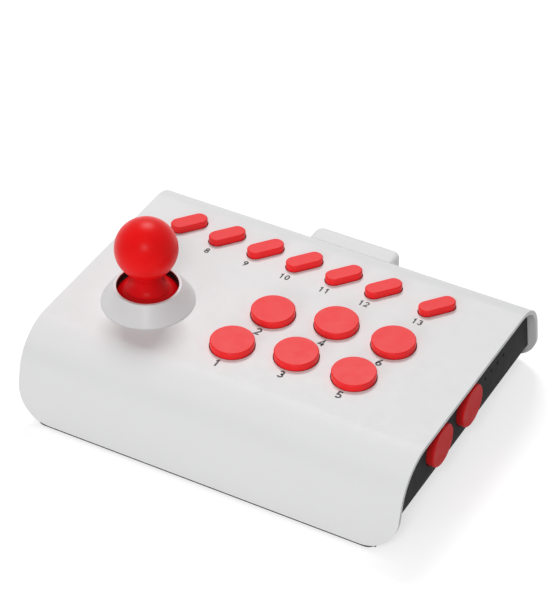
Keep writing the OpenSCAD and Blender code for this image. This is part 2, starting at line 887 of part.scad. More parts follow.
module stick_housing() {
    color("#1c1c1c") at_stick() difference() {
        union() {
            difference() {
                union() {
                    translate([0, 0, platform_top - platform_t])
                        cylinder(h = deck_z - cup_top - platform_top + platform_t, r = cup_r);
                    translate([0, 0, mount_top - mount_t]) linear_extrude(mount_t)
                        round_rect(2 * mount_half, 2 * mount_half, mount_corner_r);
                }
                translate([0, 0, platform_top]) cylinder(h = cover_h, r = cup_in);
            }
            translate([0, 0, pivot_z]) for (i = [0, 1]) mirror([i, 0]) pivot_ear();
            translate([0, 0, skirt_z]) linear_extrude(platform_top - platform_t / 2 - skirt_z) {
                difference() {
                    round_rect(2 * skirt_half, 2 * skirt_half, skirt_corner_r);
                    square(2 * (skirt_half - skirt_t), center = true);
                }
                for (x = [-1, 1], y = [-1, 1]) translate(gate_post * [x, y])
                    circle(gate_post_r);
            }
        }
        translate([0, 0, skirt_z - over])
            cylinder(h = platform_top - skirt_z + 2 * over, r = platform_hole);
        translate([0, 0, pivot_z]) rotate([0, 90, 0])
            cylinder(h = 3 * cup_r, r = pin_r + pin_fit, center = true);
        for (x = [-1, 1], y = [-1, 1]) {
            translate([x * mount_boss, y * mount_boss, mount_top - mount_t - over])
                cylinder(h = mount_t + 2 * over, r = tack_r + screw_fit);
            translate([x * gate_post, y * gate_post, skirt_z - over])
                cylinder(h = boss_pilot + over, r = tack_r + screw_fit);
        }
    }
}
module housing_screws() {
    color("silver") at_stick() for (x = [-1, 1], y = [-1, 1])
        translate([x * mount_boss, y * mount_boss, mount_top - mount_t])
            tack(long_tack_len);
}
module gate_screws() {
    color("silver") at_stick() for (x = [-1, 1], y = [-1, 1])
        translate([x * gate_post, y * gate_post, gate_z])
            tack(tack_len);
}
module restrictor_gate() {
    color("#303030") at_stick() translate([0, 0, gate_z]) linear_extrude(gate_t) difference() {
        round_rect(2 * skirt_half, 2 * skirt_half, skirt_corner_r);
        round_rect(2 * gate_half, 2 * gate_half, gate_corner_r);
        for (x = [-1, 1], y = [-1, 1]) translate(gate_post * [x, y])
            circle(tack_r + screw_fit);
    }
}
module stick_actuator() {
    color("#e8e8e8") at_pivot() difference() {
        union() {
            translate([0, 0, -actuator_end])
                cylinder(h = actuator_end - actuator_top, r = actuator_r);
            translate([0, 0, -actuator_top - actuator_flange_t])
                cylinder(h = actuator_flange_t, r = actuator_flange_r);
        }
        translate([0, 0, -actuator_end - over])
            cylinder(h = actuator_end, r = shaft_r + shaft_fit);
    }
}
module stick_switches() {
    color("#151515") at_stick() for (a = [0:90:270]) rotate(a) difference() {
        union() {
            translate([switch_in, -switch_w / 2, skirt_z + seat])
                cube([switch_d, switch_w, switch_h]);
            translate([plunger_tip, 0, plunger_z]) rotate([0, 90, 0])
                cylinder(h = switch_in + over - plunger_tip, r = plunger_r);
        }
        for (y = [-1, 1])
            translate([switch_in + switch_d / 2, y * switch_w / 3, skirt_z])
                cylinder(h = switch_h + over, r = plunger_r);
    }
}
// The spring is one tube along a helix, closed at both ends
module centring_spring() {
    sides = 8;
    r = spring_wire / 2;
    low = actuator_top - r - seat;
    rise = platform_top - platform_t - (pivot_z - actuator_top) - spring_wire - 2 * seat;
    n = spring_turns * spring_steps;
    points = [
        for (i = [0:n], k = [0:sides - 1])
            let (
                turn = 360 * i / spring_steps,
                a = 360 * k / sides,
                out = spring_r + r * cos(a)
            )
            [out * cos(turn), out * sin(turn), rise * i / n - low + r * sin(a)]
    ];
    skin = [
        for (i = [0:n - 1], k = [0:sides - 1])
            let (
                a = i * sides + k,
                b = i * sides + (k + 1) % sides
            )
            each [[a, b + sides, b], [a, a + sides, b + sides]]
    ];
    start = [for (k = [0:sides - 1]) k];
    end = [for (k = [0:sides - 1]) (n + 1) * sides - 1 - k];
    color("silver") at_pivot() polyhedron(points, concat(skin, [start, end]), convexity = 8);
}

// Button caps, with the panel's outside at zero and the face upwards
module cap_stem(depth, rib) {
    top = cap_rise - cap_roof / 2;
    translate([0, 0, -depth - stem_drop]) cylinder(h = top + depth + stem_drop, r = stem_r);
    for (a = [0, 90])
        rotate(a)
        translate([-rib, -rib_t / 2, -depth]) cube([2 * rib, rib_t, top + depth]);
}
module round_cap(depth) {
    low = -depth - cap_float - cap_t;
    color("red") {
        difference() {
            union() {
                translate([0, 0, low]) cylinder(h = cap_rise - cap_bevel - low, r = cap_r);
                translate([0, 0, cap_rise - cap_bevel])
                    cylinder(h = cap_bevel, r1 = cap_r, r2 = cap_r - cap_bevel);
                translate([0, 0, low]) cylinder(h = cap_t, r = cap_r + cap_lip);
                translate([0, 0, low + cap_t / 2])
                    cube([2 * (cap_r + cap_lip + key_out), key_w, cap_t], center = true);
            }
            translate([0, 0, low - over])
                cylinder(h = cap_rise - cap_roof - low + over, r = cap_r - cap_wall);
        }
        cap_stem(depth, cap_r - cap_wall / 2);
    }
}
module stadium_block(h, r1, r2) {
    for (x = [-menu_half, menu_half]) translate([x, 0, 0]) cylinder(h = h, r1 = r1, r2 = r2);
    along_x(2 * menu_half) polygon([[-r1, 0], [r1, 0], [r2, h], [-r2, h]]);
}
module menu_cap(depth) {
    low = -depth - cap_float - cap_t;
    color("red") {
        difference() {
            union() {
                translate([0, 0, low])
                    linear_extrude(cap_rise - cap_bevel - low) stadium(menu_half, menu_r);
                translate([0, 0, cap_rise - cap_bevel])
                    stadium_block(cap_bevel, menu_r, menu_r - cap_bevel);
                translate([0, 0, low]) linear_extrude(cap_t) stadium(menu_half, menu_r + cap_lip);
            }
            translate([0, 0, low - over]) linear_extrude(cap_rise - cap_roof - low + over)
                stadium(menu_half, menu_r - cap_wall);
        }
        translate([0, 0, -depth - stem_drop])
            cylinder(h = cap_rise - cap_roof / 2 + depth + stem_drop, r = menu_r - cap_wall / 2);
    }
}
module action_button(i) {
    translate([action_places[i].x, action_places[i].y, deck_z]) round_cap(cover_t);
}
module menu_button(i) {
    translate([menu_places[i].x, menu_places[i].y, deck_z]) rotate(menu_turn) menu_cap(cover_t);
}
module side_button(i) {
    to_side() translate([-side_z, side_places[i], 0]) round_cap(panel_t);
}
// A rubber pad stands on the board under each stem
module pad_dome(depth) {
    face = -depth - board_drop;
    h = board_drop - stem_drop - pad_gap;
    translate([0, 0, face]) difference() {
        union() {
            cylinder(h = pad_base_t, r = pad_base_r);
            cylinder(h = h, r1 = pad_foot_r, r2 = pad_top_r);
        }
        translate([0, 0, -over]) cylinder(h = pad_hollow_h + over, r = pad_hollow_r);
    }
}
module action_pads() {
    color("gainsboro") for (p = action_places) translate([p.x, p.y, deck_z]) pad_dome(cover_t);
}
module menu_pads() {
    color("gainsboro") for (p = menu_places) translate([p.x, p.y, deck_z]) pad_dome(cover_t);
}
module side_pads() {
    color("gainsboro") for (y = side_places) to_side() translate([-side_z, y, 0]) pad_dome(panel_t);
}

// Boards, their screws, the indicators and the battery
module main_board() {
    color("darkgreen") translate([0, 0, board_z - board_t]) linear_extrude(board_t) difference() {
        polygon([
            [-board_left, -board_front], [board_right, -board_front], [board_right, board_back],
            [-strip_left, board_back], [-strip_left, strip_front], [-board_left, strip_front]
        ]);
        for (p = board_boss_places) translate(p) circle(tack_r + screw_fit);
    }
}
// A part under the board, its middle at shares of the board's right and front reach
module board_part(across_share, back_share, w, d, h) {
    translate([
        across_share * board_right - w / 2, back_share * board_front - d / 2,
        board_z - board_t - seat - h
    ]) cube([w, d, h]);
}
// The controller chip, its crystal, the battery plug and a radio chip
module board_parts() {
    color("#222222") {
        board_part(0.35, -0.15, chip_w, chip_w, chip_h);
        board_part(0.6, -0.1, crystal_w, crystal_d, chip_h);
        board_part(0.1, 0.45, plug_w, plug_d, plug_h);
        board_part(0.8, 0.5, radio_w, radio_w, chip_h);
    }
}
module side_board() {
    color("darkgreen") difference() {
        translate([side_board_x - board_t, -side_board_front, side_board_low])
            cube([
                board_t, side_board_front + side_board_back, side_board_top - side_board_low
            ]);
        for (p = side_boss_places)
            translate([side_board_x - board_t - over, p.x, p.y]) rotate([0, 90, 0])
                cylinder(h = board_t + 2 * over, r = tack_r + screw_fit);
    }
}
module light_pipes() {
    color("#303030") {
        translate([
            panel_in - seat - pipe_bar_t, lamp_y - pipe_bar_w / 2, lamp_z - pipe_bar_w / 2
        ]) cube([pipe_bar_t, lamp_last - lamp_y + pipe_bar_w, pipe_bar_w]);
        for (y = lamp_places)
            translate([panel_in - pipe_bar_t / 2, y, lamp_z]) rotate([0, 90, 0])
                cylinder(h = pipe_bar_t / 2 + panel_t - lamp_r, r = lamp_r - seat);
    }
}
module rear_board() {
    color("darkgreen") translate([0, 0, rear_board_z - board_t]) linear_extrude(board_t)
        difference() {
            translate([-rear_board_left, rear_board_front])
                square([rear_board_left - rear_board_right, rear_board_back - rear_board_front]);
            for (p = rear_posts) translate(p) circle(tack_r + screw_fit);
        }
}
module board_screws() {
    color("silver") {
        for (p = board_boss_places)
            translate([p.x, p.y, board_z - board_t])
                tack(tack_len);
        for (p = side_boss_places)
            translate([side_board_x - board_t, p.x, p.y]) rotate([0, 90, 0])
                tack(tack_len);
        for (p = rear_posts)
            translate([p.x, p.y, rear_board_z]) mirror([0, 0, 1])
                tack(tack_len);
    }
}
module charge_inlet() {
    mouth = back_y(rear_z) - inlet_mouth;
    half = (inlet_w - inlet_h) / 2;
    color("silver") translate([-inlet_x, mouth - inlet_len / 2, rear_z + seat]) {
        difference() {
            along_y(inlet_len) stadium(half, inlet_h / 2);
            translate([0, inlet_back_t, 0]) along_y(inlet_len)
                stadium(half, inlet_h / 2 - inlet_shell_t);
        }
        translate([-inlet_tongue_w / 2, -inlet_len / 2 + inlet_shell_t, -inlet_tongue_h / 2])
            cube([inlet_tongue_w, inlet_len - inlet_shell_t - inlet_tongue_back, inlet_tongue_h]);
    }
}
// The mode switch rests at its left end and slides to the right
slider_x = -switch_out - switch_travel / 2;
module mode_switch_body() {
    color("silver") difference() {
        translate([
            -switch_out - switch_body_w / 2, switch_body_back - switch_body_d, rear_board_z + seat
        ]) cube([switch_body_w, switch_body_d, switch_body_h]);
        translate([
            -switch_out - slider_run / 2 - slider_gap, switch_body_back - slider_root - slider_gap,
            rear_z - slider_h / 2 - slider_gap
        ]) cube([
            slider_run + 2 * slider_gap, slider_root + slider_gap + over,
            slider_h + 2 * slider_gap
        ]);
    }
}
module mode_slider() {
    color("#151515") translate([
        slider_x - slider_w / 2, switch_body_back - slider_root, rear_z - slider_h / 2
    ])
        cube([slider_w, back_y(rear_z) + slider_rise + slider_root - switch_body_back, slider_h]);
}
module battery() {
    color("steelblue") translate([battery_x, battery_y, floor_z + seat])
        linear_extrude(battery_h) round_rect(battery_w, battery_d, battery_r);
}

top_cover();
base_tray();
rubber_feet();
cover_screws();
holder_socket();
stick_bezel();
bezel_liner();
ball_top();
neck_sleeve();
dust_dome();
stick_shaft();
shaft_clip();
gimbal_ring();
stick_housing();
housing_screws();
centring_spring();
stick_actuator();
restrictor_gate();
gate_screws();
stick_switches();
action_button(0);  // action_button_1
action_button(1);  // action_button_2
action_button(2);  // action_button_3
action_button(3);  // action_button_4
action_button(4);  // action_button_5
action_button(5);  // action_button_6
menu_button(0);  // menu_button_1
menu_button(1);  // menu_button_2
menu_button(2);  // menu_button_3
menu_button(3);  // menu_button_4
menu_button(4);  // menu_button_5
menu_button(5);  // menu_button_6
menu_button(6);  // menu_button_7
side_button(0);  // side_button_1
side_button(1);  // side_button_2
action_pads();
menu_pads();
side_pads();
main_board();
board_parts();
side_board();
light_pipes();
rear_board();
board_screws();
charge_inlet();
mode_switch_body();
mode_slider();
battery();
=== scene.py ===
"""A compact arcade fight stick on a pale floor: finishes, soft edges, rings, numbers, light, camera."""

import json
import math

import bmesh
import bpy
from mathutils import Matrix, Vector


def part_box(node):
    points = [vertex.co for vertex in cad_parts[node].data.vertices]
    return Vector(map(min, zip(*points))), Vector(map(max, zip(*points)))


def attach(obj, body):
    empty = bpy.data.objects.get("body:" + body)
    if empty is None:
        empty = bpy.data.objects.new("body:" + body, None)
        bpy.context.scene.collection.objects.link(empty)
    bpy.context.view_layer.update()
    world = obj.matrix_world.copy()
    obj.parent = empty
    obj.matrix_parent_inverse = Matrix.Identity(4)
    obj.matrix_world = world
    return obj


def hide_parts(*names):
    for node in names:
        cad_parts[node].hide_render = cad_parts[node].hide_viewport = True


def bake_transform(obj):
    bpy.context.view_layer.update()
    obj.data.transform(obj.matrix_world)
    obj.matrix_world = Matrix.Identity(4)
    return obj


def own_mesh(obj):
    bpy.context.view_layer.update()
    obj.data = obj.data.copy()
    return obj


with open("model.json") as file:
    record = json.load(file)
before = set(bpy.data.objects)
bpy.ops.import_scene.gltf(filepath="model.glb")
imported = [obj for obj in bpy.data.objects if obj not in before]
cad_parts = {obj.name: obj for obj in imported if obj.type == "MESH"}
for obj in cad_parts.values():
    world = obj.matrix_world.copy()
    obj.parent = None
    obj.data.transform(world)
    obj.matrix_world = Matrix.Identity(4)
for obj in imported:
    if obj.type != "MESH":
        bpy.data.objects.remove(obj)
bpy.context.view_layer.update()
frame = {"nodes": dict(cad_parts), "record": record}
nodes = frame["nodes"]
behaviour = frame["record"]["behaviour"]
scene = bpy.context.scene

MM = 0.001
X, Z = 0, 2
body_of = {node: body for body, members in behaviour["bodies"].items() for node in members}
slot_of = {part["node"]: part["material_slot"] for part in frame["record"]["subparts"]}
deck_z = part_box("top_cover")[1].z
panel_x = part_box("base_tray")[1].x


def middle_of(node):
    """The middle of a node's box."""
    low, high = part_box(node)
    return (low + high) / 2


def added(name, data):
    """A new object with that data, in the scene."""
    made = bpy.data.objects.new(name, data)
    scene.collection.objects.link(made)
    return made


def fill(node, values):
    """Sets a shader node's inputs by their names."""
    for name, value in values.items():
        node.inputs[name].default_value = value


# Camera

CAMERA_PLACE = Vector((528.5, -966.2, 945.5)) * MM
CAMERA_AZIMUTH = 28.77
CAMERA_ELEVATION = 38.68
CAMERA_LENS = 157.26
CAMERA_SENSOR = 36.0
CAMERA_NEAREST = 0.05
CAMERA_FARTHEST = 50

camera_data = bpy.data.cameras.new("camera")
camera_data.lens = CAMERA_LENS
camera_data.sensor_width = CAMERA_SENSOR
camera_data.clip_start = CAMERA_NEAREST
camera_data.clip_end = CAMERA_FARTHEST
camera = added("camera", camera_data)
camera.location = CAMERA_PLACE
camera.rotation_euler = (math.radians(90 - CAMERA_ELEVATION), 0, math.radians(CAMERA_AZIMUTH))
scene.camera = camera


# Materials

# Nearly all of a noise's values lie between these two
NOISE_LOW = 0.3
NOISE_HIGH = 0.7


def shade(colour, share):
    """A darker or lighter shade of a colour."""
    return tuple(min(1.0, c * share) for c in colour)


class Shader:
    """A Principled material that is put together from noise in the object's own space."""

    def __init__(self, name):
        self.material = bpy.data.materials.new(name)
        self.material.use_nodes = True
        self.tree = self.material.node_tree
        self.bsdf = self.tree.nodes["Principled BSDF"]
        self.coords = self.tree.nodes.new("ShaderNodeTexCoord").outputs["Object"]

    def node(self, kind, **settings):
        """A new node with those settings."""
        made = self.tree.nodes.new(kind)
        for key, value in settings.items():
            setattr(made, key, value)
        return made

    def link(self, out, socket):
        """Leads an output into a socket."""
        self.tree.links.new(out, socket)

    def dress(self, colour, rough, normal):
        """Leads colour, roughness and normal into the surface."""
        self.link(colour, self.bsdf.inputs["Base Color"])
        self.link(rough, self.bsdf.inputs["Roughness"])
        self.link(normal, self.bsdf.inputs["Normal"])

    def stretched(self, scale):
        """The object's space with another scale along each axis."""
        mapping = self.node("ShaderNodeMapping")
        fill(mapping, {"Scale": scale})
        self.link(self.coords, mapping.inputs["Vector"])
        return mapping.outputs["Vector"]

    def noise(self, size, detail=3.0, rough=0.5, coords=None):
        """Noise from 0 to 1 whose patches are about that size, in metres."""
        made = self.node("ShaderNodeTexNoise")
        fill(made, {"Scale": 1 / size, "Detail": detail, "Roughness": rough})
        self.link(coords or self.coords, made.inputs["Vector"])
        return made.outputs["Fac"]

    def spread(self, value, middle, below, above):
        """A noise turned into a value from a little below that middle to a little above it."""
        made = self.node("ShaderNodeMapRange")
        fill(made, {"From Min": NOISE_LOW, "From Max": NOISE_HIGH})
        fill(made, {"To Min": middle - below, "To Max": middle + above})
        self.link(value, made.inputs["Value"])
        return made.outputs["Result"]

    def tint(self, value, colour, darkest, lightest):
        """A noise turned into shades of a colour, between those two shares of it."""
        made = self.node("ShaderNodeMix", data_type="RGBA")
        fill(made, {"A": (*shade(colour, darkest), 1), "B": (*shade(colour, lightest), 1)})
        self.link(value, made.inputs["Factor"])
        return made.outputs["Result"]

    def bump(self, height, depth, below=None):
        """The normal of a relief of that depth, in metres, on top of the one below."""
        made = self.node("ShaderNodeBump")
        fill(made, {"Strength": 1.0, "Distance": depth})
        self.link(height, made.inputs["Height"])
        if below is not None:
            self.link(below, made.inputs["Normal"])
        return made.outputs["Normal"]


DRIFT_SIZE = 35 * MM
POLISH_SIZE = 6 * MM
WAVE_SIZE = 14 * MM
WAVE_DEPTH = 0.012 * MM


def plastic(name, colour, rough, grain, depth, mottle=0.03, specular=0.5):
    """Moulded plastic: faint colour drift, uneven polish and a fine grain of that size and depth."""
    s = Shader(name)
    drift = s.noise(DRIFT_SIZE, detail=2.0)
    fine = s.bump(s.noise(grain, rough=0.6), depth)
    s.dress(
        s.tint(drift, colour, darkest=1 - mottle, lightest=1 + mottle),
        s.spread(s.noise(POLISH_SIZE, detail=4.0), rough, below=0.04, above=0.05),
        s.bump(s.noise(WAVE_SIZE, detail=1.0), WAVE_DEPTH, fine),
    )
    fill(s.bsdf, {"Specular IOR Level": specular})
    return s.material


MARK_SIZE = 0.25 * MM
MARK_DEPTH = 0.004 * MM
MARK_SHAPE = (0.05, 1, 1)


def metal(name, colour, rough):
    """Turned or drawn metal, with fine marks that run along X."""
    s = Shader(name)
    marks = s.noise(MARK_SIZE, detail=4.0, rough=0.7, coords=s.stretched(MARK_SHAPE))
    s.dress(
        s.tint(marks, colour, darkest=0.86, lightest=1.06),
        s.spread(marks, rough, below=0.06, above=0.1),
        s.bump(marks, MARK_DEPTH),
    )
    fill(s.bsdf, {"Metallic": 1.0})
    return s.material


DUST_SIZE = 3 * MM
PIT_SIZE = 0.35 * MM
PIT_DEPTH = 0.02 * MM


def rubber(name, colour, rough=0.75):
    """Soft rubber with a dusty, pitted skin."""
    s = Shader(name)
    dust = s.noise(DUST_SIZE, detail=5.0, rough=0.65)
    s.dress(
        s.tint(dust, colour, darkest=0.85, lightest=1.3),
        s.spread(dust, rough, below=0.08, above=0.1),
        s.bump(s.noise(PIT_SIZE), PIT_DEPTH),
    )
    return s.material


TRACK_PITCH = 6 * MM
TRACK_WIDTH = 0.06
TRACK_OFFSET = 0.35
TRACK_DEPTH = 0.02 * MM
FIELD_SHADE = 0.8
LACQUER_SIZE = 5 * MM
LACQUER_ROUGH = 0.28


def circuit(name, colour, copper):
    """A coated board, with the copper tracks' edges showing faintly through the lacquer."""
    s = Shader(name)
    tracks = s.node("ShaderNodeTexBrick", offset=TRACK_OFFSET)
    fill(tracks, {"Scale": 1 / TRACK_PITCH, "Mortar Size": TRACK_WIDTH, "Mortar": (*copper, 1)})
    fill(tracks, {"Color1": (*colour, 1), "Color2": (*shade(colour, FIELD_SHADE), 1)})
    s.link(s.coords, tracks.inputs["Vector"])
    s.dress(
        tracks.outputs["Color"],
        s.spread(s.noise(LACQUER_SIZE), LACQUER_ROUGH, below=0.06, above=0.06),
        s.bump(tracks.outputs["Fac"], TRACK_DEPTH),
    )
    return s.material


WHITE = (0.83, 0.832, 0.838)
IVORY = (0.7, 0.7, 0.66)
LIGHT_GREY = (0.72, 0.72, 0.73)
SHAFT_GREY = (0.66, 0.66, 0.67)
SCREW_GREY = (0.62, 0.62, 0.63)
INLET_GREY = (0.58, 0.58, 0.6)
SILICONE_GREY = (0.5, 0.5, 0.5)
DARK_GREY = (0.05, 0.05, 0.051)
RUBBER_BLACK = (0.022, 0.022, 0.022)
SOFT_BLACK = (0.02, 0.02, 0.021)
BLACK = (0.012, 0.012, 0.013)
INK = (0.012, 0.012, 0.012)
GAP_SHADE_BLACK = (0.003, 0.003, 0.003)
RED = (0.93, 0.02, 0.023)
BALL_RED = (0.88, 0.002, 0.003)
SLEEVE_RED = (0.7, 0.002, 0.005)
BLUE = (0.04, 0.1, 0.28)
BOARD_GREEN = (0.012, 0.11, 0.045)
TRACK_GREEN = (0.05, 0.2, 0.08)

# A plastic has its colour, its roughness, and the size and depth of its grain
finishes = {
    "cover_white": plastic(
        "cover_white", WHITE, 0.5, 0.5 * MM, 0.004 * MM, mottle=0.01, specular=0.35
    ),
    "tray_dark": plastic(
        "tray_dark", DARK_GREY, 0.65, 0.3 * MM, 0.015 * MM, mottle=0.08, specular=0.03
    ),
    "foot_rubber": rubber("foot_rubber", RUBBER_BLACK),
    "screw_steel": metal("screw_steel", SCREW_GREY, rough=0.3),
    "bezel_grey": plastic(
        "bezel_grey", LIGHT_GREY, 0.33, 0.4 * MM, 0.002 * MM, mottle=0.015, specular=0.6
    ),
    "liner_black": plastic("liner_black", BLACK, 0.45, 0.4 * MM, 0.006 * MM, mottle=0.1),
    "ball_red": plastic(
        "ball_red", BALL_RED, 0.35, 0.6 * MM, 0.001 * MM, mottle=0.015, specular=0.18
    ),
    "sleeve_red": plastic(
        "sleeve_red", SLEEVE_RED, 0.34, 0.5 * MM, 0.002 * MM, mottle=0.015, specular=0.12
    ),
    "shaft_steel": metal("shaft_steel", SHAFT_GREY, rough=0.22),
    "housing_black": plastic("housing_black", SOFT_BLACK, 0.5, 0.4 * MM, 0.02 * MM, mottle=0.1),
    "actuator_white": plastic("actuator_white", IVORY, 0.4, 0.5 * MM, 0.006 * MM),
    "pad_silicone": rubber("pad_silicone", SILICONE_GREY, rough=0.6),
    "board_green": circuit("board_green", BOARD_GREEN, TRACK_GREEN),
    "lamp_dark": plastic("lamp_dark", BLACK, 0.2, 0.5 * MM, 0.002 * MM),
    "inlet_steel": metal("inlet_steel", INLET_GREY, rough=0.28),
    "battery_blue": plastic("battery_blue", BLUE, 0.32, 0.8 * MM, 0.01 * MM, mottle=0.05),
    "button_red": plastic(
        "button_red", RED, 0.4, 0.4 * MM, 0.004 * MM, mottle=0.012, specular=0.25
    ),
}
# The side buttons have a darker copy of the caps' red, which is painted shade, and a duller polish so
# that they mirror less of the pale floor
SIDE_PAINTED_SHADE = 0.84
side_red_painted_shade = plastic(
    "side_red_painted_shade", shade(RED, SIDE_PAINTED_SHADE), 0.5, 0.4 * MM, 0.004 * MM, mottle=0.012, specular=0.09
)
# Pitch black for the rings that paint shade in the gaps round the caps and in the lamp holes
painted_shade_black = plastic(
    "painted_shade_black", GAP_SHADE_BLACK, 0.9, 0.4 * MM, 0.006 * MM, mottle=0.1, specular=0.0
)
print_black = plastic("print_black", INK, 0.5, 0.2 * MM, 0.003 * MM, mottle=0.05)

for name, obj in nodes.items():
    finish = finishes[slot_of[name]]
    if obj.data.materials:
        for i in range(len(obj.data.materials)):
            obj.data.materials[i] = finish
    else:
        obj.data.materials.append(finish)


# Softened edges

WELD = 0.002 * MM
FLAT = math.radians(0.2)
SHARP = math.radians(30)
EDGE_SEGMENTS = 3
NORMAL_WEIGHT = 100
CAP_EDGE = 0.12 * MM
# The bezel's low band is 0.6 mm high, so its two rounded edges leave a strip between them
EDGES = {
    "top_cover": 0.3 * MM,
    "base_tray": 0.3 * MM,
    "holder_socket": 0.5 * MM,
    "stick_bezel": 0.28 * MM,
}


def welded(node):
    """The node's own mesh with its corners joined."""
    bm = bmesh.new()
    bm.from_mesh(nodes[node].data)
    bmesh.ops.remove_doubles(bm, verts=bm.verts, dist=WELD)
    return bm


def smooth_mesh(name, bm, finish):
    """A smooth mesh of that finish from a bmesh, which is freed."""
    for face in bm.faces:
        face.smooth = True
    for edge in bm.edges:
        edge.smooth = True
    mesh = bpy.data.meshes.new(name)
    bm.to_mesh(mesh)
    bm.free()
    if "custom_normal" in mesh.attributes:
        mesh.attributes.remove(mesh.attributes["custom_normal"])
    mesh.materials.append(finish)
    return mesh


def softened(node, width, finish=None):
    """The node's own solid with its sharp edges rounded, as moulded or trimmed edges are."""
    bm = welded(node)
    bmesh.ops.dissolve_limit(
        bm, angle_limit=FLAT, use_dissolve_boundaries=False, verts=bm.verts, edges=bm.edges
    )
    name = node + "_skin"
    piece = added(name, smooth_mesh(name, bm, finish or finishes[slot_of[node]]))
    edge = piece.modifiers.new("edge", "BEVEL")
    edge.limit_method = "ANGLE"
    edge.angle_limit = SHARP
    edge.width = width
    edge.segments = EDGE_SEGMENTS
    edge.use_clamp_overlap = True
    normals = piece.modifiers.new("normals", "WEIGHTED_NORMAL")
    normals.weight = NORMAL_WEIGHT
    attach(piece, body_of[node])
    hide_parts(node)


for node, width in EDGES.items():
    softened(node, width)
for node in nodes:
    if node.startswith(("action_button", "menu_button")):
        softened(node, CAP_EDGE)
    if node.startswith("side_button"):
        softened(node, CAP_EDGE, finish=side_red_painted_shade)


# Soft pieces inside


def islands(bm):
    """The vertex numbers of each separate solid of a bmesh."""
    found, seen = [], set()
    for first in bm.verts:
        if first in seen:
            continue
        seen.add(first)
        island, front = {first.index}, [first]
        while front:
            for edge in front.pop().link_edges:
                for vert in edge.verts:
                    if vert not in seen:
                        seen.add(vert)
                        island.add(vert.index)
                        front.append(vert)
        found.append(island)
    return found


def part_of(node, name, island=None):
    """A piece made of one solid of a node, or of all of it."""
    bm = welded(node)
    if island is not None:
        bm.verts.index_update()
        rest = [vert for vert in bm.verts if vert.index not in island]
        bmesh.ops.delete(bm, geom=rest, context="VERTS")
    mesh = smooth_mesh(name, bm, finishes[slot_of[node]])
    mesh.set_sharp_from_angle(angle=SHARP)
    piece = added(name, mesh)
    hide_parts(node)
    return piece


def pads(node, axis):
    """The rubber domes of a node, each a piece of its own, named after its nearest button."""
    buttons = [name for name in nodes if name.startswith(node.replace("pads", "button"))]
    along = Vector((0, 0, 0))
    along[axis] = 1
    bm = welded(node)
    bm.verts.index_update()
    bm.verts.ensure_lookup_table()
    for island in islands(bm):
        points = [bm.verts[i].co for i in island]
        low = Vector(min(point[k] for point in points) for k in range(3))
        high = Vector(max(point[k] for point in points) for k in range(3))
        middle = (low + high) / 2
        button = min(buttons, key=lambda name: (middle_of(name) - middle).length)
        piece = part_of(node, button.replace("button", "pad"), island)
        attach(piece, body_of[node])
        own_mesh(piece)
    bm.free()


pads("action_pads", Z)
pads("menu_pads", Z)
pads("side_pads", X)

# The spring as a smooth piece of its own, fixed in place
coil_middle = middle_of("centring_spring")
spring = part_of("centring_spring", "centring_coil")
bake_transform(spring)


# Strips and rings


def strip(bm, rows, closed):
    """Walls between each row of a bmesh's corners and the next, with ends unless it is closed."""
    n = len(rows)
    for i in range(n if closed else n - 1):
        near, far = rows[i], rows[(i + 1) % n]
        for k in range(len(near)):
            after = (k + 1) % len(near)
            bm.faces.new((near[k], near[after], far[after], far[k]))
    if not closed:
        bm.faces.new(rows[0])
        bm.faces.new(rows[-1])
    bmesh.ops.remove_doubles(bm, verts=bm.verts, dist=WELD)
    bmesh.ops.recalc_face_normals(bm, faces=bm.faces)
    return bm


def joined_piece(name, parts, finish, body):
    """One piece made of several bmesh parts."""
    whole = bmesh.new()
    for part in parts:
        mesh = bpy.data.meshes.new("part")
        part.to_mesh(mesh)
        part.free()
        whole.from_mesh(mesh)
        bpy.data.meshes.remove(mesh)
    mesh = bpy.data.meshes.new(name)
    whole.to_mesh(mesh)
    whole.free()
    mesh.materials.append(finish)
    piece = added(name, mesh)
    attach(piece, body)


# Dark rings round the caps and the indicator lamps: painted shade in the gaps and holes

ROUND_CAP_R = 12.15 * MM
MENU_HALF = 6 * MM
MENU_R = 4.75 * MM
MENU_TURN = 50.7
CAP_GAP = 0.45 * MM
RING_T = 0.36 * MM
RING_TOP = 0.12 * MM
RING_DEPTH = 2.3 * MM
LAMPS = 4
LAMP_RING_R = 0.96 * MM
LAMP_RING_DEPTH = 0.6 * MM
LAMP_RING_RISE = 0.01 * MM
ARC_STEPS = 40


def on_deck(middle):
    """Turns x and y along the deck and z out of it, from that middle, into a place."""
    return lambda x, y, z: (middle.x + x, middle.y + y, deck_z + z)


def on_panel(middle):
    """Turns x and y along the right side panel and z out of it, from that middle, into a place."""
    return lambda x, y, z: (panel_x + z, middle.y + x, middle.z + y)


def outline_ring(points, low, high, place):
    """A thin closed wall along an outline of (inside, outside) points, between two levels."""
    bm = bmesh.new()
    corners = ((0, low), (0, high), (1, high), (1, low))
    rows = [[bm.verts.new(place(*pair[side], z)) for pair in points] for side, z in corners]
    return strip(bm, rows, closed=True)


def stadium_points(half, radius, turn):
    """Inside and outside points round a stadium of that half length, radius and turn."""
    points = []
    for i in range(2 * ARC_STEPS):
        side = 1 if i < ARC_STEPS else -1
        angle = math.pi * ((i % ARC_STEPS) / (ARC_STEPS - 1) - 0.5) + (0 if side > 0 else math.pi)
        pair = []
        for r in (radius - RING_T, radius):
            x, y = side * half + r * math.cos(angle), r * math.sin(angle)
            pair.append(
                (x * math.cos(turn) - y * math.sin(turn), x * math.sin(turn) + y * math.cos(turn))
            )
        points.append(pair)
    return points


